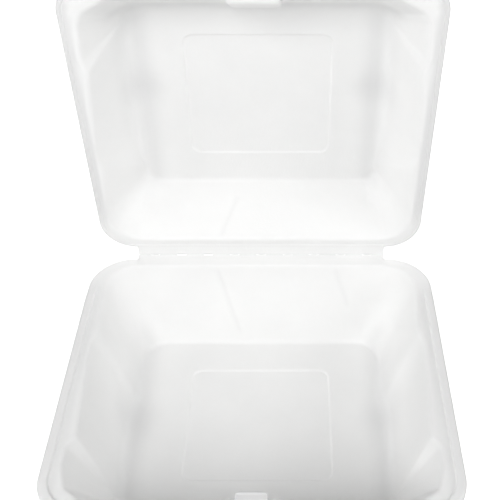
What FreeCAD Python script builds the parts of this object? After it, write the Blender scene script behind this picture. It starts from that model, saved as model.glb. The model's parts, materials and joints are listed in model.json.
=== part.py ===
import FreeCAD, Part

import math
import os
import Sketcher

# Hinged take-away box of white foam, one compartment: a deep tray and a shallower lid, thermoformed
# from one sheet and joined by a narrow strip with a perforated fold line. It stands open, as it does
# on a counter, with its tray level and its lid upright behind it.
#
# Millimetres. The origin is on the tray's flat underside, below the middle of the panel in its floor,
# +Z is up, +X is to the right of someone who faces the open box, and the fold lies behind, towards +Y.
#
# Each half is drawn in a frame of its own: its origin is the middle of the fold line, Y runs from
# the fold to the front of that half, and its hollow goes down from the plane in which the two rims
# meet, which is Z = 0.

SIZES = [
    # the tray's rim, over all, and its corners
    ("rim_width", 213.0),
    ("rim_length", 195.0),
    ("rim_back_radius", 27.0),
    ("rim_front_radius", 24.0),
    # foam: the sheet, the rims, the edge that is turned down, and the strip at the fold
    ("wall", 2.4),
    ("rim_thickness", 2.2),
    ("edge_drop", 4.0),
    ("lip_round", 1.5),
    ("leaf_thickness", 1.5),
    # the fold: from the fold line to each rim, the strip's width, and the gaps left at the fold
    ("tray_reach", 2.8),
    ("lid_reach", 6.0),
    ("fold_width", 158.0),
    ("fold_gap", 0.3),
    ("rim_gap", 0.3),
    # the cuts along the fold line
    ("cut_count", 9),
    ("cut_pitch", 17.1),
    ("cut_length", 6.0),
    ("cut_width", 1.4),
    ("cut_taper", 0.6),
    # the raised border of the tray, inside which the lid's rim lies when the box is shut
    ("border_width", 5.4),
    ("border_height", 1.5),
    ("border_start", 32.0),
    ("border_slope", 1.2),
    ("nest_clearance", 0.35),
    # flat parts of the rims, from the border or the edge to the top of the walls
    ("tray_ledge", 4.1),
    ("lid_ledge", 6.3),
    ("back_ledge", 8.0),
    # hollows: depth, and how far the walls lean in on their way down
    ("tray_depth", 55.0),
    ("tray_side_lean", 20.0),
    ("tray_back_lean", 18.5),
    ("tray_front_lean", 33.5),
    ("lid_depth", 39.0),
    ("lid_side_lean", 20.0),
    ("lid_back_lean", 20.0),
    ("lid_front_lean", 29.8),
    ("back_corner", 20.0),
    ("floor_round", 6.0),
    # the folds of the side walls: two points at the rim lean in, and the wall between them
    # bellies out at the floor
    ("back_point", 67.0),
    ("back_point_in", 3.0),
    ("point_return", 7.0),
    ("front_point_in", 4.8),
    ("tray_point_to_turn", 22.5),
    ("lid_point_to_turn", 28.0),
    ("tray_corner_in", 0.6),
    ("lid_corner_in", 2.4),
    ("fold_foot", 58.0),
    ("foot_return", 3.5),
    ("foot_gap", 3.0),
    ("belly_start", 74.0),
    ("belly_end", 103.0),
    ("belly_out", 2.0),
    # the front corners: a turn at the end of the side wall, then a flat facet that meets the front
    # wall; widths are across the box, runs towards its front
    ("tray_turn_in", 0.8),
    ("tray_turn_width", 3.8),
    ("tray_turn_run", 13.5),
    ("tray_facet_width", 11.0),
    ("tray_facet_run", 8.5),
    ("lid_turn_in", 3.6),
    ("lid_turn_width", 3.3),
    ("lid_turn_run", 7.5),
    ("lid_facet_width", 19.5),
    ("lid_facet_run", 11.25),
    ("floor_corner_share", 0.5),
    # the panel pressed out of the floor and of the lid
    ("panel_width", 86.0),
    ("panel_back", 47.0),
    ("panel_length", 85.0),
    ("panel_radius", 6.0),
    ("panel_step", 0.8),
    # the lock in the middle of the front: the walls stand back, a tongue on the tray, a slot in the lid
    ("lock_width", 29.0),
    ("lock_slope", 5.0),
    ("lock_in", 8.0),
    ("lock_foot_share", 0.25),
    ("tongue_width", 16.0),
    ("tongue_thickness", 2.2),
    ("tongue_height", 4.6),
    ("tongue_round", 2.0),
    ("tongue_inset", 7.0),
    ("slot_clearance", 0.6),
    # how far the lid stands open, in degrees from shut
    ("open_angle", 84.0),
]

# bands that make up the rounding between a wall and the floor, and between a wall and the rim
ROUND_STEPS = 2
LIP_STEPS = 1

# where on the leaning run of the side wall's rim the belly below it starts and ends
BELLY_SHARES = (0.2, 0.6)

# how far the front corner's three points move across and forwards as the outline grows by one,
# so that the wall keeps its thickness round the corner
TURN_GROWS = ((1.0, 0.25), (0.8, 0.65), (0.3, 1.0))

# lengths and volumes nearer than these are the same
NEAR = 0.001
LEAST_CUT = 0.01

# a half that keeps more than this share of its outer form hasn't been hollowed
HOLLOW_SHARE = 0.5

doc = FreeCAD.newDocument("foam_box")
sheet = doc.addObject("Spreadsheet::Sheet", "Sizes")
for row, (alias, number) in enumerate(SIZES, start=1):
    sheet.set("A%d" % row, alias)
    sheet.set("B%d" % row, str(number))
    sheet.setAlias("B%d" % row, alias)
doc.recompute()


class Length:
    """A length worked out from the sheet: its value now, and its formula in the sheet's names."""

    def __init__(self, value, formula):
        self.value = value
        self.formula = formula

    def __add__(self, other):
        return Length(self.value + other.value, "(%s + %s)" % (self.formula, other.formula))

    def __sub__(self, other):
        return Length(self.value - other.value, "(%s - %s)" % (self.formula, other.formula))

    def __mul__(self, factor):
        if isinstance(factor, Length):
            return Length(self.value * factor.value, "(%s * %s)" % (self.formula, factor.formula))
        return Length(self.value * factor, "(%s * %.6f)" % (self.formula, factor))

    def __truediv__(self, other):
        return Length(self.value / other.value, "(%s / %s)" % (self.formula, other.formula))


def size(name):
    return Length(float(sheet.get(name)), "Sizes." + name)


NOTHING = Length(0.0, "0")
ONE = Length(1.0, "1")


def settle():
    """Work the document out, and stop at the first object that failed."""
    doc.recompute()
    for item in doc.Objects:
        if "Invalid" in item.State or "Error" in item.State:
            raise RuntimeError("%s failed: %s" % (item.Label, item.getStatusString()))


def origin_plane(body, role):
    """The body's own origin plane with that role."""
    return next(plane for plane in body.Origin.OriginFeatures if plane.Role == role)


def arc_between(start, end, radius):
    """The arc from start to end, short way round; a radius below zero bends it clockwise."""
    chord = end - start
    across = FreeCAD.Vector(-chord.y, chord.x, 0).normalize()
    to_centre = math.sqrt(max(radius * radius - chord.Length ** 2 / 4, 0))
    centre = start + chord * 0.5 + across * math.copysign(to_centre, radius)
    first, last = (start, end) if radius > 0 else (end, start)
    first_angle = math.atan2(first.y - centre.y, first.x - centre.x)
    last_angle = math.atan2(last.y - centre.y, last.x - centre.x)
    if last_angle < first_angle:
        last_angle += 2 * math.pi
    circle = Part.Circle(centre, FreeCAD.Vector(0, 0, 1), abs(radius))
    return Part.ArcOfCircle(circle, first_angle, last_angle)


def outline(body, name, level, right_side, across=None):
    """A level closed outline that is the same on both sides of the Y axis, or of a line across from it.

    right_side lists its points on the right, each with X, Y and the radius of the arc that leads to
    the next one, or None for a straight line; bend -1 turns that arc clockwise.
    """
    sketch = body.newObject("Sketcher::SketchObject", name)
    sketch.AttachmentSupport = [(origin_plane(body, "XY_Plane"), "")]
    sketch.MapMode = "FlatFace"
    sketch.AttachmentOffset = FreeCAD.Placement(FreeCAD.Vector(0, 0, level.value), FreeCAD.Rotation())
    sketch.setExpression("AttachmentOffset.Base.z", level.formula)
    if across is not None:
        sketch.setExpression("AttachmentOffset.Base.x", across.formula)

    count = len(right_side)
    right = [FreeCAD.Vector(x.value, y.value, 0) for x, y, _, _ in right_side]
    left = [FreeCAD.Vector(-point.x, point.y, 0) for point in right]
    points = right + left[::-1]
    bends = [(radius, bend) for _, _, radius, bend in right_side]
    bends = bends[:-1] + [(None, 0)] + bends[:-1][::-1] + [(None, 0)]

    pieces = []
    starts = []
    for index, (radius, bend) in enumerate(bends):
        start = points[index]
        end = points[(index + 1) % len(points)]
        if radius is None:
            pieces.append(Part.LineSegment(start, end))
            starts.append((1, 2))
        else:
            pieces.append(arc_between(start, end, radius.value * bend))
            starts.append((1, 2) if bend > 0 else (2, 1))
    sketch.addGeometry(pieces, False)

    rules = []
    for index in range(len(pieces)):
        after = (index + 1) % len(pieces)
        rules.append(Sketcher.Constraint("Coincident", index, starts[index][1], after, starts[after][0]))
    for index in range(count):
        twin = len(points) - 1 - index
        rules.append(Sketcher.Constraint("Symmetric", index, starts[index][0], twin, starts[twin][0], -2))
    sketch.addConstraint(rules)
    for index, (x, y, radius, bend) in enumerate(right_side):
        for kind, distance in (("DistanceX", x), ("DistanceY", y)):
            rule = Sketcher.Constraint(kind, -1, 1, index, starts[index][0], distance.value)
            number = sketch.addConstraint(rule)
            sketch.setExpression("Constraints[%d]" % number, distance.formula)
        if radius is not None:
            number = sketch.addConstraint(Sketcher.Constraint("Radius", index, radius.value))
            sketch.setExpression("Constraints[%d]" % number, radius.formula)
            twin = len(points) - 2 - index
            sketch.addConstraint(Sketcher.Constraint("Equal", index, twin))
    return sketch


def straight(x, y):
    """A point of an outline with a straight line after it."""
    return (x, y, None, 0)


def turning(x, y, radius, bend=1):
    """A point of an outline with an arc after it."""
    return (x, y, radius, bend)


def rim_points(half, back, front, back_radius, front_radius):
    """The right side of a rounded rectangle, from its back edge to its front edge."""
    return [
        turning(half - back_radius, back, back_radius),
        straight(half, back + back_radius),
        turning(half, front - front_radius, front_radius),
        straight(half - front_radius, front),
    ]


def add_loft(body, kind, name, sections):
    loft = body.newObject("PartDesign::" + kind, name)
    loft.Profile = sections[0]
    loft.Sections = sections[1:]
    loft.Ruled = True
    return loft


def add_pad(body, name, sketch, length, down):
    pad = body.newObject("PartDesign::Pad", name)
    pad.Profile = sketch
    pad.setExpression("Length", length.formula)
    pad.Reversed = down
    return pad


def add_pocket(body, name, sketch, length, up):
    """A cut of that length, downwards unless up is said; it has to take some material away."""
    settle()
    before = body.Tip.Shape.Volume
    pocket = body.newObject("PartDesign::Pocket", name)
    pocket.Profile = sketch
    pocket.setExpression("Length", length.formula)
    pocket.Reversed = up
    settle()
    if pocket.Shape.Volume > before - LEAST_CUT:
        raise RuntimeError(name + " cuts nothing")
    return pocket


def named_edges(shape, height):
    """The edges that lie at that height, each with its name."""
    found = []
    for number, edge in enumerate(shape.Edges, start=1):
        box = edge.BoundBox
        if abs(box.ZMin - height) < NEAR and abs(box.ZMax - height) < NEAR:
            found.append(("Edge%d" % number, edge))
    return found


def add_fillet(body, name, base, edges, radius):
    fillet = body.newObject("PartDesign::Fillet", name)
    fillet.Base = (base, edges)
    fillet.setExpression("Radius", radius.formula)
    return fillet


def front_corner(half, grow, side, front, share):
    """The three points of a front corner, drawn at that share of its size at the rim."""
    turn_y = front - (half["turn_run"] + half["facet_run"]) * share
    knee_x = side - half["turn_width"] * share
    knee_y = turn_y + half["turn_run"] * share
    ends = [(side, turn_y), (knee_x, knee_y), (knee_x - half["facet_width"] * share, front)]
    return [straight(x + grow * across, y + grow * forward)
            for (x, y), (across, forward) in zip(ends, TURN_GROWS)]


def wall_top(half, grow):
    """The right side of a hollow's outline at the rim, with the two points that lean in."""
    side = half["side"] + grow
    back = half["back"] - grow
    front = half["front"] + grow
    back_radius = size("back_corner") + grow
    back_point = half["reach"] + size("back_point")
    turn = half["front"] - half["turn_run"] - half["facet_run"]
    front_point = turn - half["point_to_turn"]
    lean_start = back_point + size("point_return")
    run = front_point - lean_start
    points = [
        turning(side - back_radius, back, back_radius),
        straight(side, back + back_radius),
        straight(side - size("back_point_in"), back_point),
        straight(side, lean_start),
    ]
    for share in BELLY_SHARES:
        points.append(straight(side - size("front_point_in") * share, lean_start + run * share))
    points += [
        straight(side - size("front_point_in"), front_point),
        straight(side - half["corner_in"], front_point + size("point_return")),
    ]
    points += front_corner(half, grow, half["side"] - half["turn_in"], half["front"], ONE)
    points += [
        straight(size("lock_width") * 0.5 + size("lock_slope"), front),
        straight(size("lock_width") * 0.5, front - size("lock_in")),
    ]
    return points


def wall_foot(half, grow):
    """The right side of a hollow's outline at the floor, point for point with wall_top."""
    inner_side = half["side"] - half["side_lean"]
    inner_front = half["front"] - half["front_lean"]
    side = inner_side + grow
    back = half["back"] + half["back_lean"] - grow
    front = inner_front + grow
    back_radius = size("back_corner") + grow
    foot = half["reach"] + size("fold_foot")
    foot_in = size("back_point_in") * size("foot_return") / size("point_return")
    share = size("floor_corner_share")
    turn = inner_front - (half["turn_run"] + half["facet_run"]) * share
    lock_share = size("lock_foot_share")
    points = [
        turning(side - back_radius, back, back_radius),
        straight(side, back + back_radius),
        straight(side - foot_in, foot),
        straight(side, foot + size("foot_return")),
        straight(side + size("belly_out"), half["reach"] + size("belly_start")),
        straight(side + size("belly_out"), half["reach"] + size("belly_end")),
        straight(side, turn - size("foot_gap") - size("foot_gap")),
        straight(side, turn - size("foot_gap")),
    ]
    points += front_corner(half, grow, inner_side, inner_front, share)
    points += [
        straight(size("lock_width") * 0.5 + size("lock_slope") * lock_share, front),
        straight(size("lock_width") * 0.5, front - size("lock_in") * lock_share),
    ]
    return points


def section(half, grow, share):
    """The hollow's outline at that share of its depth, with each point on a line down the wall."""
    points = []
    for top, foot in zip(wall_top(half, grow), wall_foot(half, grow)):
        x = top[0] + (foot[0] - top[0]) * share
        y = top[1] + (foot[1] - top[1]) * share
        radius = None if top[2] is None else top[2] + (foot[2] - top[2]) * share
        points.append((x, y, radius, top[3]))
    return points


def form_sections(body, name, half, top, depth, grow, rounding, lip):
    """Outlines of the hollow, or of its outside: the rim, then the rounding down to the floor.

    The rounding is a quarter of a circle of that radius, sheared with the leaning wall, so that it
    runs smoothly out of the wall and into the floor. The lip, where there is one, is a like quarter
    of a circle that opens the hollow out into the rim.
    """
    stations = []
    if lip is None:
        stations.append((NOTHING, grow))
    else:
        for step in range(LIP_STEPS + 1):
            angle = math.radians(90.0 * step / LIP_STEPS)
            stations.append((lip * (1 - math.cos(angle)), grow + lip * (1 - math.sin(angle))))
    for step in range(ROUND_STEPS + 1):
        angle = math.radians(90.0 * (1 - step / ROUND_STEPS))
        stations.append((depth - rounding * (1 - math.cos(angle)), grow - rounding * (1 - math.sin(angle))))
    return [outline(body, "%s_%d" % (name, number), top - down, section(half, out, down / depth))
            for number, (down, out) in enumerate(stations)]


def build_half(label, half):
    """One half of the box, in its own frame; its body is returned for what only that half has."""
    body = doc.addObject("PartDesign::Body", label)
    body.Label = label
    wall = size("wall")
    top = size("rim_gap") * -0.5
    floor = top - half["depth"]
    underside = floor - wall

    # the wall's outer form, with a rounded edge at the floor
    add_loft(body, "AdditiveLoft", label + "_outside", form_sections(
        body, label + "_outside", half, top, half["depth"] + wall, wall, size("floor_round") + wall, None))
    settle()

    # the rim: a flat plate, the edge turned down round it as far as the fold, and the fold's strip
    rim = rim_points(half["rim_side"], half["reach"], half["rim_front"],
                     half["rim_back_radius"], half["rim_front_radius"])
    plate = outline(body, label + "_rim_outline", top, rim)
    add_pad(body, label + "_rim", plate, size("rim_thickness"), True)
    edge = outline(body, label + "_edge_outline", top, edge_points(half))
    add_pad(body, label + "_edge", edge, size("edge_drop"), True)
    leaf_back = size("fold_gap") * 0.5
    leaf_front = half["reach"] + size("rim_thickness")
    leaf_side = size("fold_width") * 0.5
    leaf = outline(body, label + "_leaf_outline", top,
                   [straight(leaf_side, leaf_back), straight(leaf_side, leaf_front)])
    add_pad(body, label + "_leaf", leaf, size("leaf_thickness"), True)

    # the cuts along the fold line, half in each leaf
    cut_run = (size("cut_count") - ONE) * size("cut_pitch")
    cut_side = size("cut_length") * 0.5
    cut_front = size("cut_width") * 0.5
    first = outline(body, label + "_cut_outline", top, [
        straight(cut_side, cut_front * -1),
        straight(cut_side, leaf_back),
        straight(cut_side - size("cut_taper"), cut_front),
    ], cut_run * -0.5)
    cut = add_pocket(body, label + "_cut", first, size("rim_thickness"), False)
    cuts = body.newObject("PartDesign::LinearPattern", label + "_cuts")
    cuts.Originals = [cut]
    cuts.Direction = (first, ["H_Axis"])
    cuts.setExpression("Length", cut_run.formula)
    cuts.setExpression("Occurrences", "Sizes.cut_count")
    body.Tip = cuts
    settle()

    # the panel stands proud on top of the lid; the tray's underside stays flat, to stand on
    if half["panel_proud"]:
        proud = outline(body, label + "_panel_outside", underside, panel_points(half, size("panel_step")))
        add_pad(body, label + "_panel", proud, size("panel_step"), True)
    settle()

    # the hollow
    solid_volume = body.Tip.Shape.Volume
    inside = add_loft(body, "SubtractiveLoft", label + "_inside", form_sections(
        body, label + "_inside", half, top, half["depth"], NOTHING, size("floor_round"), size("lip_round")))
    settle()
    if inside.Shape.Volume > HOLLOW_SHARE * solid_volume:
        raise RuntimeError(label + " isn't hollow")
    sunk = outline(body, label + "_panel_inside", floor, panel_points(half, NOTHING))
    add_pocket(body, label + "_panel_sunk", sunk, size("panel_step"), False)
    return body


def edge_points(half):
    """The right side of the turned-down edge: a band that stops at both ends of the fold's strip."""
    band = size("rim_thickness")
    side = half["rim_side"]
    back = half["reach"]
    front = half["rim_front"]
    radius = half["rim_front_radius"]
    back_radius = half["rim_back_radius"]
    end = size("fold_width") * 0.5
    return [
        turning(side - radius, front - band, radius - band, -1),
        straight(side - band, front - radius),
        turning(side - band, back + back_radius, back_radius - band, -1),
        straight(side - back_radius, back + band),
        straight(end, back + band),
        straight(end, back),
        turning(side - back_radius, back, back_radius),
        straight(side, back + back_radius),
        turning(side, front - radius, radius),
        straight(side - radius, front),
    ]


def panel_points(half, grow):
    """The right side of the pressed panel, a rounded rectangle."""
    side = size("panel_width") * 0.5 + grow
    back = half["reach"] + size("panel_back") - grow
    front = half["reach"] + size("panel_back") + size("panel_length") + grow
    return rim_points(side, back, front, size("panel_radius") + grow, size("panel_radius") + grow)


def add_border(body, half):
    """The tray's raised border: round the front and both sides, with its ends sloped down."""
    side = half["rim_side"]
    front = half["rim_front"]
    radius = half["rim_front_radius"]
    width = size("border_width")
    start = half["reach"] + size("border_start")
    top = size("rim_gap") * -0.5
    ring = outline(body, "border_outline", top, [
        turning(side - radius, front - width, radius - width, -1),
        straight(side - width, front - radius),
        straight(side - width, start),
        straight(side, start),
        turning(side, front - radius, radius),
        straight(side - radius, front),
    ])
    border = add_pad(body, "border", ring, size("border_height"), False)
    settle()
    level = (top + size("border_height")).value
    ends = [name for name, edge in named_edges(border.Shape, level)
            if abs(edge.BoundBox.YMax - start.value) < NEAR]
    slope = body.newObject("PartDesign::Chamfer", "border_ends")
    slope.Base = (border, ends)
    slope.setExpression("Size", size("border_slope").formula)
    settle()
    return slope


def add_tongue(body, lid_half):
    """The lock's tongue, which stands on the tray's ledge where the lid's slot comes down."""
    middle = lid_half["rim_front"] - size("tongue_inset")
    reach = size("tongue_thickness") * 0.5
    side = size("tongue_width") * 0.5
    top = size("rim_gap") * -0.5
    foot = outline(body, "tongue_outline", top, [straight(side, middle - reach), straight(side, middle + reach)])
    tongue = add_pad(body, "tongue", foot, size("tongue_height"), False)
    settle()
    level = (top + size("tongue_height")).value
    ends = [name for name, edge in named_edges(tongue.Shape, level)
            if edge.BoundBox.XLength < NEAR]
    add_fillet(body, "tongue_round", tongue, ends, size("tongue_round"))
    settle()


def add_slot(body, half):
    """The lock's slot in the lid's rim, as large as the tongue with its clearance all round."""
    middle = half["rim_front"] - size("tongue_inset")
    reach = size("tongue_thickness") * 0.5 + size("slot_clearance")
    side = size("tongue_width") * 0.5 + size("slot_clearance")
    top = size("rim_gap") * -0.5
    slot = outline(body, "slot_outline", top, [straight(side, middle - reach), straight(side, middle + reach)])
    add_pocket(body, "slot", slot, size("edge_drop"), False)


tray_side = size("rim_width") * 0.5
tray_front = size("tray_reach") + size("rim_length")
lid_in = size("border_width") + size("nest_clearance")

TRAY = {
    "reach": size("tray_reach"),
    "rim_side": tray_side,
    "rim_front": tray_front,
    "rim_back_radius": size("rim_back_radius"),
    "rim_front_radius": size("rim_front_radius"),
    "side": tray_side - size("border_width") - size("tray_ledge"),
    "back": size("tray_reach") + size("back_ledge"),
    "front": tray_front - size("border_width") - size("tray_ledge"),
    "depth": size("tray_depth"),
    "side_lean": size("tray_side_lean"),
    "back_lean": size("tray_back_lean"),
    "front_lean": size("tray_front_lean"),
    "point_to_turn": size("tray_point_to_turn"),
    "corner_in": size("tray_corner_in"),
    "turn_in": size("tray_turn_in"),
    "turn_width": size("tray_turn_width"),
    "turn_run": size("tray_turn_run"),
    "facet_width": size("tray_facet_width"),
    "facet_run": size("tray_facet_run"),
    "panel_proud": False,
}
LID = {
    "reach": size("lid_reach"),
    "rim_side": tray_side - lid_in,
    "rim_front": tray_front - lid_in,
    "rim_back_radius": size("rim_back_radius") - lid_in,
    "rim_front_radius": size("rim_front_radius") - lid_in,
    "side": tray_side - lid_in - size("lid_ledge"),
    "back": size("lid_reach") + size("back_ledge"),
    "front": tray_front - lid_in - size("lid_ledge"),
    "depth": size("lid_depth"),
    "side_lean": size("lid_side_lean"),
    "back_lean": size("lid_back_lean"),
    "front_lean": size("lid_front_lean"),
    "point_to_turn": size("lid_point_to_turn"),
    "corner_in": size("lid_corner_in"),
    "turn_in": size("lid_turn_in"),
    "turn_width": size("lid_turn_width"),
    "turn_run": size("lid_turn_run"),
    "facet_width": size("lid_facet_width"),
    "facet_run": size("lid_facet_run"),
    "panel_proud": True,
}

tray = build_half("base_tray", TRAY)
add_border(tray, TRAY)
add_tongue(tray, LID)
lid = build_half("lid", LID)
add_slot(lid, LID)
settle()

# the tray is turned so that its front faces -Y; the lid turns up about the fold line
fold_back = size("tray_reach") + size("panel_back") + size("panel_length") * 0.5
fold_height = size("rim_gap") * 0.5 + size("tray_depth") + size("wall")
tray.Placement = FreeCAD.Placement(FreeCAD.Vector(), FreeCAD.Rotation(FreeCAD.Vector(0, 0, 1), 180))
lid.Placement = FreeCAD.Placement(FreeCAD.Vector(), FreeCAD.Rotation(FreeCAD.Vector(1, 0, 0), 90))
lid.setExpression("Placement.Rotation.Angle", "180 - Sizes.open_angle")
for body in (tray, lid):
    body.setExpression("Placement.Base.y", fold_back.formula)
    body.setExpression("Placement.Base.z", fold_height.formula)
settle()

for body in (tray, lid):
    if body.Shape.isNull() or not body.Shape.isValid() or len(body.Shape.Solids) != 1:
        raise RuntimeError(body.Label + " isn't one valid solid")
os.makedirs("parts", exist_ok=True)
for body in (tray, lid):
    body.Shape.exportStep("parts/%s.step" % body.Label)
    print(body.Label, round(body.Shape.Volume), body.Shape.BoundBox)
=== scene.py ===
import json
import math

import bmesh
import bpy
import numpy as np
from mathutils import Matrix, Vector


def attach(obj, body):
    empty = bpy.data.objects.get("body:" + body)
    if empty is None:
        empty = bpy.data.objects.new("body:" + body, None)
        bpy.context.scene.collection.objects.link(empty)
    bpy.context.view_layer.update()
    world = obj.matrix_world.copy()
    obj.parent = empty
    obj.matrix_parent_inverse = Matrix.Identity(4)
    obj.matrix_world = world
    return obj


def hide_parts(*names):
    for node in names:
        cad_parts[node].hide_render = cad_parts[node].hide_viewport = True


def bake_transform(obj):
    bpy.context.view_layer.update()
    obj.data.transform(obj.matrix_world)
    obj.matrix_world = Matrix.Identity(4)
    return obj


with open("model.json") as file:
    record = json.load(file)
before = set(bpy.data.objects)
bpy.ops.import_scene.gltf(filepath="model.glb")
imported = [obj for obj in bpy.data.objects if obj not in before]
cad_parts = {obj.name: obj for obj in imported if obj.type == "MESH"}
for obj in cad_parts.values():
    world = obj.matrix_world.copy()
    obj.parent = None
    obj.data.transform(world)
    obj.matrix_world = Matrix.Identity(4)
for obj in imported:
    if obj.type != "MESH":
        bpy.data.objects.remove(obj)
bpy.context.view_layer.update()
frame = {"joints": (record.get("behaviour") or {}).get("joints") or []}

# A hinged take-away box of white foam, standing open. Each half is one thin shell, drawn as rows of
# points that are carried round the half's outline: the floor, the wall, the rim and its turned-down
# edge, and back underneath. Lengths in the shells' own frame are millimetres: x across, y from the
# fold line to the front, z up out of the hollow, with the plane in which the two rims meet at z = 0.

MM = 0.001
joint = frame["joints"][0]
FOLD_Y = joint["pos_m"][1] / MM
FOLD_Z = joint["pos_m"][2] / MM
OPEN = math.radians(joint["range_deg"][1])

# sizes that both halves share
RIM_TOP = -0.15
WALL = 2.4
RIM_THICK = 2.2
EDGE_DROP = 4.0
LEAST_RADIUS = 1.0
STRIP_HALF = 79.0
STRIP_THICK = 1.5
STRIP_ROUND = 0.12
STRIP_LIP = 0.1
BACK_STRAIGHT = 79.5
BACK_CORNER = 20.0
POINT_RETURN = 7.0
BACK_POINT = 67.0
BACK_POINT_IN = 3.0
FRONT_POINT_IN = 4.8
FOOT_GAP = 1.5
BELLY_OUT = 2.0
BELLY_SHARES = (0.2, 0.6)
TURN_GROWS = ((1.0, 0.25), (0.8, 0.65), (0.3, 1.0))
FLOOR_CORNER_SHARE = 0.3
LOCK_FOOT = 0.25
LOCK_ZONE = 20
TONGUE_INSET = 7.0

# the pressed panel, and the raised border or the groove along the rim
PANEL_HALF, PANEL_START, PANEL_LENGTH, PANEL_CORNER, PANEL_DEPTH = 43.0, 47.0, 85.0, 6.0, 0.8
PANEL_SLOPE = 0.5
PROUD_SLOPE = (1.4, 0.5)
MIDDLE_SHARE = 0.04
BORDER_INSETS = (5.6, 5.1)
BORDER_START = 32.0
BORDER_RAMP = (-4.0, 8.0)
GROOVE_INSETS = (3.6, 3.1, 2.5)

# how wide the outlines' corners are softened, and where along the sides the creases become crisp
HEAD_SOFT_CRISP, HEAD_SOFT, FOOT_SOFT, HEAD_OUT_SOFT, FOOT_OUT_SOFT = 1.3, 3.5, 2.4, 1.6, 2.8
CRISP_RUN = (92, 112)

# the foot of the wall is rounded least beside the fold; the heel is where the lid's underside rises
FOOT_ROUND, FOOT_ROUND_MORE, FOOT_ROUND_RUN = 3.0, 4.0, (36, 64)
HEEL_RUN = (48, 28)

# for each line round a shell: radius of its rounding, steps of the rounding, steps to the next line
ROUNDINGS = {
    "panel": (0.6, 3, 1), "panel_edge": (0.6, 3, 7), "head": (2.4, 8, 2), "border_foot": (0.5, 3, 1),
    "border_top": (0.8, 4, 2), "groove_side": (0.4, 3, 1), "groove": (0.3, 3, 1), "lip": (0.3, 2, 1),
    "lip_inside": (0.3, 2, 2), "head_out": (2.0, 5, 8), "foot_out": (9.0, 8, 4), "proud_foot": (0.6, 3, 1),
    "proud_top": (0.6, 3, 6),
}
ROUNDING_SHARE = 0.49

# the sheet wanders a little, and has faint creases; then where and how much painted shade darkens the colour:
# in bands at the foot of the walls, on the creases, along the rims and along the fold
WANDER = 0.14
WAVES = ((0.11, 0.07, 0.05, 0.4), (-0.06, 0.13, 0.09, 1.9), (0.17, -0.05, -0.12, 3.3), (0.05, 0.21, 0.02, 5.1))
CREASE_HEIGHT, CREASE_WIDTH, CREASE_TONE = 0.4, 1.4, 0.22
BAND_WIDTH, BELLY_WIDTH, BAND_TONE, BELLY_TONE = 6.5, 3.0, 0.6, 0.4
BAND_DEPTHS = (0.45, 0.8)
FOLD_TONE = 0.4

# Sizes of each half. The rim starts at "reach" from the fold line. "side", "back", "front" and "depth"
# bound the hollow, and each "lean" is how far that wall comes in down to the floor. "point_to_turn",
# "corner_in", "turn_in", "turn" and "facet" shape the creased front corner, and "folds" is where the
# creases end at the floor. "lock" holds half the width, the slope and the depth of the lock's recess,
# whose ledge lies lower by "lock_drop". "heel" lifts the underside beside the fold. "shade_paint" holds the
# place across, the middle along and the spread of the band of painted shade at the foot of each side wall,
# where the crease falls into shade; "rim_shade" and "front_shade" are how much painted shade lies along the
# rim and at the foot of the front wall, and "creases" the ends of each crease, across and down the wall.
TRAY = {
    "reach": 2.8, "rim_side": 106.5, "rim_front": 197.8, "rim_back_radius": 27.0, "rim_front_radius": 24.0,
    "side": 97.0, "back": 10.8, "front": 188.3, "depth": 55.0, "side_lean": 20.0, "back_lean": 14.0,
    "front_lean": 33.5, "point_to_turn": 19.0, "corner_in": 0.6, "turn_in": 0.8, "turn": (3.8, 13.5),
    "facet": (11.0, 8.5), "border": 1.5, "edge_round": 2.4, "edge_fall": 0.3, "groove": 0.0, "proud": 0.0,
    "foot_corner": 17.0, "folds": (74.8, 78.3, 86.8, 112.0), "lock_drop": 8.0,
    "lock": (14.5, 5.0, 8.0), "heel": 0.0, "shade_paint": (73.5, 89.0, 15.0), "rim_shade": 0.25, "front_shade": 0.0,
    "creases": (((27.3, 3.0), (14.2, 46.5)), ((-47.4, 3.0), (-55.6, 26.2))),
}
LID = {
    "reach": 6.0, "rim_side": 100.75, "rim_front": 192.05, "rim_back_radius": 21.25, "rim_front_radius": 18.25,
    "side": 94.45, "back": 14.0, "front": 185.75, "depth": 39.0, "side_lean": 20.0, "back_lean": 16.0,
    "front_lean": 29.8, "point_to_turn": 28.0, "corner_in": 2.4, "turn_in": 3.6, "turn": (3.3, 7.5),
    "facet": (19.5, 11.25), "border": 0.0, "edge_round": 2.6, "edge_fall": 0.7, "groove": 0.35, "proud": 0.8,
    "foot_corner": 10.0, "folds": (43.0, 47.0, 76.0, 109.0), "lock_drop": 0.0,
    "lock": (12.8, 3.0, 6.5), "heel": 0.8, "shade_paint": (68.5, 104.0, 12.0), "rim_shade": 0.8, "front_shade": 0.6,
    "creases": (((-15.0, 26.8), (-24.6, 2.5)),),
}

# how many steps each piece of the outline's right side is drawn in, from the middle of the back
STEPS = (58, 26, 20, 6, 8, 14, 14, 6, 9, 10, 12, 30, 8, 9)
BACK_ARC, SIDE_FIRST, SIDE_LAST, TURN_ARC, FACET_ARC = 1, 2, 9, 9, 10
SHARES = [np.linspace(0, 1, count + 1)[:-1] for count in STEPS]
strip_end = STRIP_HALF / BACK_STRAIGHT
SHARES[0] = np.append(np.linspace(0, strip_end, STEPS[0]), 0.999)
STRIP_COLUMNS = len(SHARES[0]) - 2


def front_corner(half, grow, side, front, share):
    """The three points of a front corner: the end of the side wall, the turn and the facet's end.

    At the floor the corner is drawn at a share of its size, and grow moves each point outward.
    """
    turn_y = front - (half["turn"][1] + half["facet"][1]) * share
    knee = (side - half["turn"][0] * share, turn_y + half["turn"][1] * share)
    ends = [(side, turn_y), knee, (knee[0] - half["facet"][0] * share, front)]
    return [(x + grow * across, y + grow * forward) for (x, y), (across, forward) in zip(ends, TURN_GROWS)]


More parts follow.
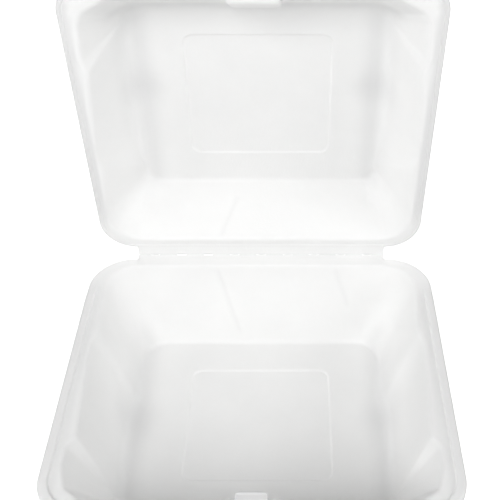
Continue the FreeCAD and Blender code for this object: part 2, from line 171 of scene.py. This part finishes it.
def wall_top(half, grow):
    """Right-side points of the hollow's outline at the rim."""
    side, back, front = half["side"] + grow, half["back"] - grow, half["front"] + grow
    radius = BACK_CORNER + grow
    back_point = half["reach"] + BACK_POINT
    turn = half["front"] - half["turn"][1] - half["facet"][1]
    front_point = turn - half["point_to_turn"]
    lean_start = back_point + POINT_RETURN
    run = front_point - lean_start
    points = [(0, back), (side - radius, back), (side, back + radius), (side - BACK_POINT_IN, back_point),
              (side, lean_start)]
    points += [(side - FRONT_POINT_IN * share, lean_start + run * share) for share in BELLY_SHARES]
    points += [(side - FRONT_POINT_IN, front_point), (side - half["corner_in"], front_point + POINT_RETURN)]
    points += front_corner(half, grow, half["side"] - half["turn_in"], half["front"], 1.0)
    wide, slope, deep = half["lock"]
    points += [(wide + slope, front), (wide, front - deep), (0, front - deep)]
    return np.array(points), radius


def wall_foot(half, grow):
    """Right-side points of the hollow's outline at the floor, point for point with wall_top."""
    inner_side = half["side"] - half["side_lean"]
    inner_front = half["front"] - half["front_lean"]
    side, back, front = inner_side + grow, half["back"] + half["back_lean"] - grow, inner_front + grow
    radius = half["foot_corner"] + grow
    fold, fold_end, belly, belly_end = half["folds"]
    share = FLOOR_CORNER_SHARE
    turn = inner_front - (half["turn"][1] + half["facet"][1]) * share
    points = [(0, back), (side - radius, back), (side, back + radius),
              (side - BACK_POINT_IN / 2, fold), (side, fold_end),
              (side + BELLY_OUT, belly), (side + BELLY_OUT, belly_end),
              (side, turn - FOOT_GAP * 2), (side, turn - FOOT_GAP)]
    points += front_corner(half, grow, inner_side, inner_front, share)
    wide, slope, deep = half["lock"]
    points += [(wide + slope * LOCK_FOOT, front), (wide, front - deep * LOCK_FOOT),
               (0, front - deep * LOCK_FOOT)]
    return np.array(points), radius


def arc(centre, radius, first, last, shares):
    """Points on a circle from angle first to angle last, in degrees."""
    angle = np.radians(first + (last - first) * shares)
    return np.stack([centre[0] + radius * np.cos(angle), centre[1] + radius * np.sin(angle)], -1)


def closed(right):
    """The whole outline: the right side, then its mirror image back to the start."""
    return np.concatenate([right, (right[1:-1] * (-1, 1))[::-1]])


def straights(points):
    """Straight pieces from each point to the next: P + (Q - P) s for that piece's shares s."""
    return [start + (end - start) * shares[:, None] for start, end, shares in zip(points[:-1], points[1:], SHARES)]


def wall_curve(corners):
    """An outline of the hollow: straight pieces between its corners, an arc round the back corner."""
    points, radius = corners
    parts = straights(points)
    parts[BACK_ARC] = arc(points[BACK_ARC] + (0, radius), radius, -90, 0, SHARES[BACK_ARC])
    return closed(np.concatenate(parts + [points[-1:]]))


def rim_curve(half, inset):
    """A line that runs round the rim at that distance from its edge, in step with the hollow's outline."""
    top = wall_top(half, 0)[0]
    side, front = half["rim_side"] - inset, half["rim_front"] - inset
    back = half["reach"] + inset
    back_radius = half["rim_back_radius"] - inset
    front_radius = max(half["rim_front_radius"] - inset, LEAST_RADIUS)
    corner = (side - front_radius, front - front_radius)
    sides = top[SIDE_FIRST:SIDE_LAST + 1, 1]
    along = (sides - sides[0]) / (sides[-1] - sides[0])
    run = back + back_radius + (corner[1] - back - back_radius) * along
    points = [(0, back), (side - back_radius, back), (side, run[0])] + [(side, y) for y in run[1:]]
    wide, slope = half["lock"][:2]
    points += [(side, corner[1]), (corner[0], front), (wide + slope, front), (wide, front), (0, front)]
    points = np.array(points)
    parts = straights(points)
    parts[BACK_ARC] = arc((side - back_radius, back + back_radius), back_radius, -90, 0, SHARES[BACK_ARC])
    parts[TURN_ARC] = arc(corner, front_radius, 0, 45, SHARES[TURN_ARC])
    parts[FACET_ARC] = arc(corner, front_radius, 45, 90, SHARES[FACET_ARC])
    return closed(np.concatenate(parts + [points[-1:]]))


def panel_middle(half):
    """The middle of the pressed panel."""
    return np.array([0, half["reach"] + PANEL_START + PANEL_LENGTH / 2])


def panel_curve(half, grow, like):
    """The pressed panel's outline, met by lines from the panel's middle to the curve it is like.

    It is a rounded rectangle, the level line |max(q, 0)| + min(max(q), 0) = radius of its distance
    field, where q is how far a point lies beyond the middles of the corners. Each line meets it where
    halving finds it.
    """
    side, radius = PANEL_HALF + grow, PANEL_CORNER + grow
    middle = panel_middle(half)
    length = PANEL_LENGTH / 2 + grow
    away = like - middle
    away = away / np.linalg.norm(away, axis=1)[:, None]
    low, high = np.zeros(len(like)), np.full(len(like), 2 * side + 2 * length)
    for _ in range(40):
        reach = (low + high) / 2
        offset = np.abs(away * reach[:, None]) - (side - radius, length - radius)
        outside = np.linalg.norm(np.maximum(offset, 0), axis=1) + np.minimum(offset.max(axis=1), 0) > radius
        high, low = np.where(outside, reach, high), np.where(outside, low, reach)
    return middle + away * low[:, None]


def soften(curve, width):
    """Each point becomes the mean of the curve about it, weighed by a bell curve of that width."""
    step = np.linalg.norm(np.roll(curve, -1, 0) - curve, axis=1)
    place = np.concatenate([[0], np.cumsum(step)[:-1]])
    apart = np.abs(place[:, None] - place[None])
    apart = np.minimum(apart, step.sum() - apart)
    weight = np.exp(-0.5 * (apart / width) ** 2) * ((step + np.roll(step, 1)) / 2)[None]
    return weight @ curve / weight.sum(1)[:, None]


def lifted(curve, height):
    """An outline with its heights, one number or one for each point."""
    return np.concatenate([curve, np.broadcast_to(height, len(curve))[:, None]], 1)


def profile_rows(nodes):
    """Rows of points along a profile that is carried round an outline.

    Each node is (points, radius, steps of its rounding, steps to the next node). The corner at a node
    is a parabola that touches both its sides at that radius: (1-t)^2 A + 2t(1-t) P + t^2 B.
    """
    places = np.array([node[0] for node in nodes])
    rows, last = [], None
    for index, (point, radius, turns, runs) in enumerate(nodes):
        if index in (0, len(nodes) - 1):
            bend = [point]
        else:
            before, after = places[index - 1] - point, places[index + 1] - point
            far = np.linalg.norm(before, axis=1), np.linalg.norm(after, axis=1)
            reach = np.minimum(np.broadcast_to(radius, len(point)), ROUNDING_SHARE * np.minimum(*far))[:, None]
            start = point + before / far[0][:, None] * reach
            end = point + after / far[1][:, None] * reach
            shares = np.linspace(0, 1, turns + 1)
            bend = [(1 - t) ** 2 * start + 2 * t * (1 - t) * point + t * t * end for t in shares]
        if last is not None:
            rows += [last + (bend[0] - last) * share for share in np.linspace(0, 1, runs_before + 1)[1:-1]]
        rows += bend
        last, runs_before = bend[-1], runs
    return np.array(rows)


def mesh_from_rows(rows, shade_paint):
    """A closed mesh: quads between neighbouring rows, and one flat face at each end.

    The mask "painted_shade" tells how much painted shade darkens the colour at each point.
    """
    count, width = rows.shape[:2]
    number = np.arange(count * width).reshape(count, width)
    beside = np.roll(number, -1, 1)
    quads = np.stack([number[:-1], beside[:-1], beside[1:], number[1:]], -1).reshape(-1, 4)
    mesh = bpy.data.meshes.new("rows")
    faces = quads.tolist() + [number[0].tolist(), number[-1].tolist()]
    mesh.from_pydata(rows.reshape(-1, 3).tolist(), [], faces)
    mask = mesh.attributes.new("painted_shade", "FLOAT", "POINT")
    mask.data.foreach_set("value", shade_paint.ravel())
    return mesh


def finish_mesh(name, meshes, place):
    """One object from those meshes, moved into the row's frame, with its faces turned outward."""
    whole = bmesh.new()
    for mesh in meshes:
        whole.from_mesh(mesh)
        bpy.data.meshes.remove(mesh)
    bmesh.ops.recalc_face_normals(whole, faces=whole.faces)
    mesh = bpy.data.meshes.new(name)
    whole.to_mesh(mesh)
    whole.free()
    points = np.empty(len(mesh.vertices) * 3)
    mesh.vertices.foreach_get("co", points)
    mesh.vertices.foreach_set("co", (place(points.reshape(-1, 3)) * MM).ravel())
    mesh.polygons.foreach_set("use_smooth", np.ones(len(mesh.polygons), bool))
    mesh.set_sharp_from_angle(angle=math.radians(50))
    mesh.update()
    thing = bpy.data.objects.new(name, mesh)
    bpy.context.scene.collection.objects.link(thing)
    return thing


def in_tray(points):
    """From the tray's own frame to the row's."""
    return points * (-1, -1, 1) + (0, FOLD_Y, FOLD_Z)


def in_lid(points):
    """From the lid's own frame to the row's: turned up about the fold line."""
    turn = math.pi - OPEN
    x, y, z = points.T
    return np.stack([x, FOLD_Y + y * math.cos(turn) - z * math.sin(turn),
                     FOLD_Z + y * math.sin(turn) + z * math.cos(turn)], -1)


def smooth(low, high, value):
    """The smooth step from 0 at low to 1 at high."""
    share = np.clip((value - low) / (high - low), 0, 1)
    return share * share * (3 - 2 * share)


def waves(points):
    """A slow, uneven field of about -1 to 1 for each point: a mean of sines of different directions."""
    total = np.zeros(len(points))
    for a, b, c, phase in WAVES:
        total += np.sin(points[:, 0] * a + points[:, 1] * b + points[:, 2] * c + phase)
    return total / len(WAVES)


def shell_rows(half):
    """Rows of one half, from the middle of its floor over the rim to the middle of its underside.

    Node by node: floor, pressed panel, foot of the wall, top of the wall, ledge, border, edge, lip,
    underside of the rim, outside of the wall, underside.
    """
    top, depth = RIM_TOP, half["depth"]
    floor = top - depth
    under = floor - WALL
    head = wall_curve(wall_top(half, 0))
    # the crease behind the middle of each side is a soft one, those at the front corners are crisp
    crisp = smooth(*CRISP_RUN, head[:, 1])[:, None]
    head = crisp * soften(head, HEAD_SOFT_CRISP) + (1 - crisp) * soften(head, HEAD_SOFT)
    foot = soften(wall_curve(wall_foot(half, 0)), FOOT_SOFT)
    head_out = soften(wall_curve(wall_top(half, WALL)), HEAD_OUT_SOFT)
    foot_out = soften(wall_curve(wall_foot(half, WALL)), FOOT_OUT_SOFT)
    head_out = head_out + (foot_out - head_out) * RIM_THICK / (depth + WALL)
    edge = rim_curve(half, 0)
    column = np.arange(len(edge))
    in_strip = np.minimum(column, len(edge) - column) <= STRIP_COLUMNS
    lip = np.where(in_strip, top - RIM_THICK - STRIP_LIP, top - EDGE_DROP)
    edge_round = np.where(in_strip, STRIP_ROUND, half["edge_round"])
    edge_fall = np.where(in_strip, 0, half["edge_fall"])
    rise = half["border"] * smooth(*BORDER_RAMP, edge[:, 1] - half["reach"] - BORDER_START)
    wide, slope = half["lock"][:2]
    in_lock = (head[:, 1] > half["front"] - LOCK_ZONE) * (1 - smooth(wide, wide + slope, np.abs(head[:, 0])))
    drop = half["lock_drop"] * in_lock
    heel = half["heel"] * smooth(*HEEL_RUN, foot_out[:, 1])
    foot_round = FOOT_ROUND + FOOT_ROUND_MORE * smooth(*FOOT_ROUND_RUN, foot[:, 1])
    sunk = panel_curve(half, -PANEL_SLOPE, foot)
    middle = panel_middle(half)
    middle = middle + (sunk - middle) * MIDDLE_SHARE

    def line(curve, height, name):
        return (lifted(curve, height),) + ROUNDINGS[name]

    nodes = [(lifted(middle, floor - PANEL_DEPTH), 0, 0, 8),
             line(sunk, floor - PANEL_DEPTH, "panel"),
             line(panel_curve(half, PANEL_SLOPE, foot), floor, "panel_edge"),
             (lifted(foot, floor), foot_round, 10, 14),
             line(head, top - drop, "head")]
    if half["border"]:
        nodes += [line(rim_curve(half, BORDER_INSETS[0]), top, "border_foot"),
                  line(rim_curve(half, BORDER_INSETS[1]), top + rise, "border_top")]
    else:
        nodes += [line(rim_curve(half, GROOVE_INSETS[0]), top, "groove_side"),
                  line(rim_curve(half, GROOVE_INSETS[1]), top - half["groove"], "groove"),
                  line(rim_curve(half, GROOVE_INSETS[2]), top, "groove_side")]
    nodes += [(lifted(edge, top + rise - edge_fall), edge_round, 6, 2),
              line(edge, lip, "lip"),
              line(rim_curve(half, RIM_THICK), lip, "lip_inside"),
              line(rim_curve(half, RIM_THICK), top - RIM_THICK, "lip_inside"),
              line(head_out, top - RIM_THICK - drop, "head_out"),
              line(foot_out, under + heel, "foot_out")]
    if half["proud"]:
        nodes += [line(panel_curve(half, PROUD_SLOPE[0], foot), under, "proud_foot"),
                  line(panel_curve(half, PROUD_SLOPE[1], foot), under - half["proud"], "proud_top")]
    nodes += [(lifted(middle, under - half["proud"]), 0, 0, 0)]
    rows = profile_rows(nodes)
    # the sheet is never quite even: it wanders by a tenth of a millimetre, except at rim and underside
    flat = rows.reshape(-1, 3)
    hold = WANDER * smooth(-3.0, -14.0, flat[:, 2]) * smooth(floor - 1.5, floor + 6.0, flat[:, 2])
    for axis, shift in ((0, 0.0), (1, 35.7)):
        flat[:, axis] += hold * waves(flat + shift)
    flat[:, 1] += CREASE_HEIGHT * creased(half, flat)
    return flat.reshape(rows.shape)


def creased(half, points):
    """Faint creases in the wall beside the fold, from 0 to 1: a bell curve about each short line."""
    place = np.stack([points[..., 0], RIM_TOP - points[..., 2]], -1)
    near = np.zeros(place.shape[:-1])
    for start, end in half["creases"]:
        start, way = np.array(start), np.array(end) - start
        along = np.clip((place - start) @ way / (way @ way), 0, 1)
        away = np.linalg.norm(place - start - along[..., None] * way, axis=-1)
        near = np.maximum(near, np.exp(-(away / CREASE_WIDTH) ** 2))
    return near * (points[..., 1] < half["back"] + half["back_lean"])


def painted_shade(half, rows):
    """Where painted shade darkens the foam's colour, from 0 to 1.

    It is painted in a band beside the foot of each side wall, widest at its belly, where the crease falls
    into shade; at the foot of the lid's front wall; along the rims; and on the creases. The band is a bell
    curve across, exp(-(x / w)^2).
    """
    across, along, down = np.abs(rows[..., 0]), rows[..., 1], RIM_TOP - rows[..., 2]
    line, middle, spread = half["shade_paint"]
    last = half["front"] - half["front_lean"]
    first = half["back"] + half["back_lean"]
    run = smooth(first - 4, first + 4, along) * smooth(last + 8, last - 10, along)
    belly = np.exp(-((along - middle) / spread) ** 2)
    low = smooth(*BAND_DEPTHS, down / half["depth"])
    near = np.exp(-((across - line) / (BAND_WIDTH + BELLY_WIDTH * belly)) ** 2)
    near = near * low * (BAND_TONE * run + BELLY_TONE * belly)
    front = half["front_shade"] * low * smooth(last - 4, last + 6, along)
    beyond = np.maximum(across - half["side"], along - half["front"])
    rim = half["rim_shade"] * smooth(-1.0, 1.5, beyond) * smooth(8, 40, along - half["reach"])
    return np.clip(near + front + rim + CREASE_TONE * creased(half, rows), 0, 1)


def cut_with_box(thing, low, high):
    """A rectangular opening right through a piece, between two corners in the lid's own frame."""
    corners = np.stack(np.meshgrid(*zip(low, high), indexing="ij"), -1).reshape(-1, 3)
    mesh = bpy.data.meshes.new("opening")
    mesh.from_pydata((in_lid(corners) * MM).tolist(), [], [
        (0, 1, 3, 2), (4, 6, 7, 5), (0, 4, 5, 1), (2, 3, 7, 6), (0, 2, 6, 4), (1, 5, 7, 3)])
    cutter = bpy.data.objects.new("opening", mesh)
    bpy.context.scene.collection.objects.link(cutter)
    modifier = thing.modifiers.new("opening", "BOOLEAN")
    modifier.operation = "DIFFERENCE"
    modifier.object = cutter
    bpy.context.view_layer.update()
    cut = bpy.data.meshes.new_from_object(thing.evaluated_get(bpy.context.evaluated_depsgraph_get()))
    thing.modifiers.remove(modifier)
    thing.data = cut
    bpy.data.objects.remove(cutter)


tray_rows, lid_rows = shell_rows(TRAY), shell_rows(LID)
tray_shell = finish_mesh("tray_shell", [mesh_from_rows(tray_rows, painted_shade(TRAY, tray_rows))], in_tray)
lid_shell = finish_mesh("lid_shell", [mesh_from_rows(lid_rows, painted_shade(LID, lid_rows))], in_lid)
slot_y = LID["rim_front"] - TONGUE_INSET
SLOT_HALF, SLOT_REACH = 8.6, 1.7
cut_with_box(lid_shell, (-SLOT_HALF, slot_y - SLOT_REACH, -5), (SLOT_HALF, slot_y + SLOT_REACH, 1))

# The cuts along the fold: how far apart, half their length, and how far each gapes, from left to right.
# A cut is a lens, so its opening is its gape times sqrt(1 - (x / half its length)^2).
CUT_PITCH, CUT_HALF = 17.1, 3.0
CUT_GAPES = np.array([0.12, 0.42, 0.45, 0.08, 0.12, 0.05, 0.06, 0.05, 0.12])
cut_places = (np.arange(len(CUT_GAPES)) - (len(CUT_GAPES) - 1) / 2) * CUT_PITCH
at_cuts = (cut_places[:, None] + np.linspace(-CUT_HALF, CUT_HALF, 13)).ravel()
across = np.unique(np.concatenate([np.linspace(-STRIP_HALF, STRIP_HALF, 60), at_cuts]))
apart = np.abs(across[:, None] - cut_places)
gape = CUT_GAPES[apart.argmin(1)]
lens = np.sqrt(np.clip(1 - (apart.min(1) / CUT_HALF) ** 2, 0, 1))
opening = gape * lens
# behind a cut that hardly gapes, the lid's leaf reaches past the fold, and the wider a cut the darker the painted
# shadow in it
tuck = np.where(gape > 0.3, 0.05, -0.3) * lens
shade = 0.35 + 0.65 * lens * np.clip(gape / 0.2, 0.3, 1)


def leaf_rows(reach, end):
    """One leaf of the strip: at each x a thin closed section from the rim to the fold or to the cut."""
    share = np.array([0, 0.3, 0.5, 0.65, 0.78, 0.9, 1])
    y = reach + (end[:, None] - reach) * share
    top = np.stack([np.broadcast_to(across[:, None], y.shape), y, np.full(y.shape, RIM_TOP)], -1)
    bottom = top[:, ::-1] + (0, 0, -STRIP_THICK)
    return np.concatenate([top, bottom], 1)


def fold_rows(first, last):
    """The bent foam between two cuts: a quarter turn about the fold line, from one leaf to the other."""
    turns = 11
    angle = np.linspace(-math.pi / 2, math.pi / 2 - OPEN, turns)
    radius = np.repeat([-RIM_TOP, STRIP_THICK - RIM_TOP], turns)
    angle = np.concatenate([angle, angle[::-1]])
    section = np.stack([FOLD_Y + radius * np.cos(angle), FOLD_Z + radius * np.sin(angle)], -1)
    x = np.repeat(np.linspace(first, last, 4), len(section))
    return np.concatenate([x[:, None], np.tile(section, (4, 1))], 1).reshape(4, -1, 3)


cut_ends = np.stack([cut_places - CUT_HALF, cut_places + CUT_HALF], -1).ravel()
ends = np.concatenate([[-STRIP_HALF], cut_ends, [STRIP_HALF]])
web_parts = []
# the tray's own x runs from right to left, so its cuts are taken in turned order
for rows, place, dark in [(leaf_rows(TRAY["reach"], opening[::-1]), in_tray, shade[::-1] * FOLD_TONE),
                          (leaf_rows(LID["reach"], tuck), in_lid, shade)]:
    # painted shadow in each cut and painted shade along the fold: the leaves are darkened near the fold line, most
    # at the widest cuts
    shade_paint = dark[:, None] * smooth(1.3, 0.5, rows[..., 1])
    web_parts.append(mesh_from_rows(place(rows.reshape(-1, 3)).reshape(rows.shape), shade_paint))
# the bent foam at the fold carries painted shade all over, at FOLD_TONE
for first, last in ends.reshape(-1, 2):
    rows = fold_rows(first, last)
    web_parts.append(mesh_from_rows(rows, np.full(rows.shape[:2], FOLD_TONE)))
fold_web = finish_mesh("fold_web", web_parts, lambda points: points)

# The lock's tongue is an upright tab whose level section is a rounded bar, |x|^5 + |y|^(10/3) = 1 before
# it is scaled. Each row is a height, half the width and half the thickness.
TONGUE = ((-7.0, 8.0, 1.1), (-3.0, 8.0, 1.1), (1.2, 8.0, 1.05), (2.2, 7.8, 1.0), (2.9, 7.3, 0.9),
          (3.25, 6.5, 0.7), (3.4, 5.6, 0.4))
turn = np.linspace(0, 2 * math.pi, 64, endpoint=False)
round_x, round_y = np.cos(turn), np.sin(turn)
bar = np.stack([np.sign(round_x) * np.abs(round_x) ** 0.4, np.sign(round_y) * np.abs(round_y) ** 0.6], -1)
tongue_rows = np.stack([lifted(bar * (wide, thick) + (0, slot_y), RIM_TOP + high) for high, wide, thick in TONGUE])
# the whole tongue carries full painted shade
lock_tongue = finish_mesh("lock_tongue", [mesh_from_rows(tongue_rows, np.ones(tongue_rows.shape[:2]))], in_tray)


def foam_cells_group():
    """Expanded foam: a slow mottling, and a normal that shows it with the fine closed cells."""
    group = bpy.data.node_groups.new("foam_cells", "ShaderNodeTree")
    for name, value in (("Cell scale", 900.0), ("Mottle scale", 28.0), ("Cell depth", 0.12)):
        group.interface.new_socket(name, in_out="INPUT", socket_type="NodeSocketFloat").default_value = value
    group.interface.new_socket("Mottle", in_out="OUTPUT", socket_type="NodeSocketFloat")
    group.interface.new_socket("Normal", in_out="OUTPUT", socket_type="NodeSocketVector")
    node, link = group.nodes.new, group.links.new
    inputs, outputs = node("NodeGroupInput"), node("NodeGroupOutput")
    place = node("ShaderNodeTexCoord")
    cells = node("ShaderNodeTexVoronoi")
    cells.feature = "SMOOTH_F1"
    cells.inputs["Smoothness"].default_value = 0.6
    link(place.outputs["Object"], cells.inputs["Vector"])
    link(inputs.outputs["Cell scale"], cells.inputs["Scale"])
    mottle = node("ShaderNodeTexNoise")
    mottle.inputs["Detail"].default_value = 4.0
    mottle.inputs["Roughness"].default_value = 0.55
    link(place.outputs["Object"], mottle.inputs["Vector"])
    link(inputs.outputs["Mottle scale"], mottle.inputs["Scale"])
    both = node("ShaderNodeMath")
    both.operation = "MULTIPLY_ADD"
    both.inputs[1].default_value = 0.5
    link(mottle.outputs["Fac"], both.inputs[0])
    link(cells.outputs["Distance"], both.inputs[2])
    bump = node("ShaderNodeBump")
    bump.inputs["Distance"].default_value = 0.0004
    link(inputs.outputs["Cell depth"], bump.inputs["Strength"])
    link(both.outputs["Value"], bump.inputs["Height"])
    link(mottle.outputs["Fac"], outputs.inputs["Mottle"])
    link(bump.outputs["Normal"], outputs.inputs["Normal"])
    return group


FOAM_LIGHT = (0.905, 0.905, 0.900, 1)
FOAM_DARK = (0.885, 0.886, 0.882, 1)
# the colour toward which painted shade multiplies the foam
SHADE_TINT = (0.83, 0.83, 0.835, 1)


def foam_material():
    """White foam: its colour moves between two near whites with the mottling, darker where painted shade is laid
    on it.
    """
    material = bpy.data.materials.new("foam_skin")
    material.use_nodes = True
    tree = material.node_tree
    shader = tree.nodes["Principled BSDF"]
    cells = tree.nodes.new("ShaderNodeGroup")
    cells.node_tree = foam_cells_group()
    cells.inputs["Cell depth"].default_value = 0.12
    ramp = tree.nodes.new("ShaderNodeMapRange")
    ramp.inputs["From Min"].default_value = 0.35
    ramp.inputs["From Max"].default_value = 0.65
    mix = tree.nodes.new("ShaderNodeMix")
    mix.data_type = "RGBA"
    mix.inputs["A"].default_value = FOAM_DARK
    mix.inputs["B"].default_value = FOAM_LIGHT
    link = tree.links.new
    link(cells.outputs["Mottle"], ramp.inputs["Value"])
    link(ramp.outputs["Result"], mix.inputs["Factor"])
    # painted shade: the mask darkens the colour toward SHADE_TINT
    shade_paint = tree.nodes.new("ShaderNodeAttribute")
    shade_paint.attribute_name = "painted_shade"
    dim = tree.nodes.new("ShaderNodeMix")
    dim.data_type = "RGBA"
    dim.blend_type = "MULTIPLY"
    dim.inputs["B"].default_value = SHADE_TINT
    link(shade_paint.outputs["Fac"], dim.inputs["Factor"])
    link(mix.outputs["Result"], dim.inputs["A"])
    link(dim.outputs["Result"], shader.inputs["Base Color"])
    link(cells.outputs["Normal"], shader.inputs["Normal"])
    shader.inputs["Roughness"].default_value = 0.5
    shader.inputs["IOR"].default_value = 1.45
    shader.inputs["Sheen Weight"].default_value = 0.08
    return material


foam_skin = foam_material()
for thing, body, nodes in ((tray_shell, "tray", ["base_tray"]), (lid_shell, "lid", ["lid"]),
                           (lock_tongue, "tray", []), (fold_web, None, [])):
    thing.data.materials.clear()
    thing.data.materials.append(foam_skin)
    if nodes:
        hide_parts(*nodes)
    if body:
        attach(thing, body)
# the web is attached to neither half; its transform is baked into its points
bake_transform(fold_web)


# A pale floor that the camera sees as white, with the object's faint shadow on it.
FLOOR_HALF, FLOOR_GLOW, WORLD_LEVEL = 4, 0.76, 0.245
floor_mesh = bpy.data.meshes.new("floor")
corners = [(FLOOR_HALF * x, FLOOR_HALF * y, 0) for x, y in ((-1, -1), (1, -1), (1, 1), (-1, 1))]
floor_mesh.from_pydata(corners, [], [(0, 1, 2, 3)])
floor = bpy.data.objects.new("floor", floor_mesh)
floor.location.z = -0.0004
bpy.context.scene.collection.objects.link(floor)
floor_material = bpy.data.materials.new("white_sweep")
floor_material.use_nodes = True
tree = floor_material.node_tree
tree.nodes["Principled BSDF"].inputs["Base Color"].default_value = (0.8, 0.8, 0.8, 1)
tree.nodes["Principled BSDF"].inputs["Roughness"].default_value = 0.9
glow = tree.nodes.new("ShaderNodeEmission")
path = tree.nodes.new("ShaderNodeLightPath")
power = tree.nodes.new("ShaderNodeMath")
power.operation = "MULTIPLY"
power.inputs[1].default_value = FLOOR_GLOW
tree.links.new(path.outputs["Is Camera Ray"], power.inputs[0])
tree.links.new(power.outputs["Value"], glow.inputs["Strength"])
both = tree.nodes.new("ShaderNodeAddShader")
tree.links.new(tree.nodes["Principled BSDF"].outputs["BSDF"], both.inputs[0])
tree.links.new(glow.outputs["Emission"], both.inputs[1])
tree.links.new(both.outputs["Shader"], tree.nodes["Material Output"].inputs["Surface"])
floor_mesh.materials.append(floor_material)

world = bpy.data.worlds.new("studio")
bpy.context.scene.world = world
world.use_nodes = True
tree = world.node_tree
background = tree.nodes["Background"]
background.inputs["Color"].default_value = (1, 1, 1, 1)
path = tree.nodes.new("ShaderNodeLightPath")
level = tree.nodes.new("ShaderNodeMapRange")
level.inputs["To Min"].default_value = WORLD_LEVEL
level.inputs["To Max"].default_value = 1.0
tree.links.new(path.outputs["Is Camera Ray"], level.inputs["Value"])
tree.links.new(level.outputs["Result"], background.inputs["Strength"])


def soft_light(name, place, target, size, watts):
    """A square soft light that faces a point."""
    data = bpy.data.lights.new(name, "AREA")
    data.size = size
    data.energy = watts
    light = bpy.data.objects.new(name, data)
    light.location = place
    light.rotation_euler = (Vector(target) - Vector(place)).to_track_quat("-Z", "Y").to_euler()
    bpy.context.scene.collection.objects.link(light)


soft_light("front", (-0.25, -0.95, 0.85), (0.0, 0.05, 0.08), 0.6, 8.2)
soft_light("left", (-1.0, -0.35, 0.6), (0.0, 0.0, 0.08), 0.6, 3.15)
soft_light("right", (1.0, -0.35, 0.6), (0.0, 0.0, 0.08), 0.6, 4.6)
soft_light("back", (0.0, 1.15, 0.6), (0.0, 0.1, 0.1), 0.4, 4.5)

camera_data = bpy.data.cameras.new("camera")
camera_data.lens = 64.4
camera_data.sensor_width = 36
camera_data.shift_x = -0.082
camera = bpy.data.objects.new("camera", camera_data)
camera.location = (0.0193, -0.3544, 0.4250)
camera.rotation_euler = (math.radians(90 - 39.14), 0, 0)
bpy.context.scene.collection.objects.link(camera)
bpy.context.scene.camera = camera
bpy.context.scene.view_settings.view_transform = "Standard"
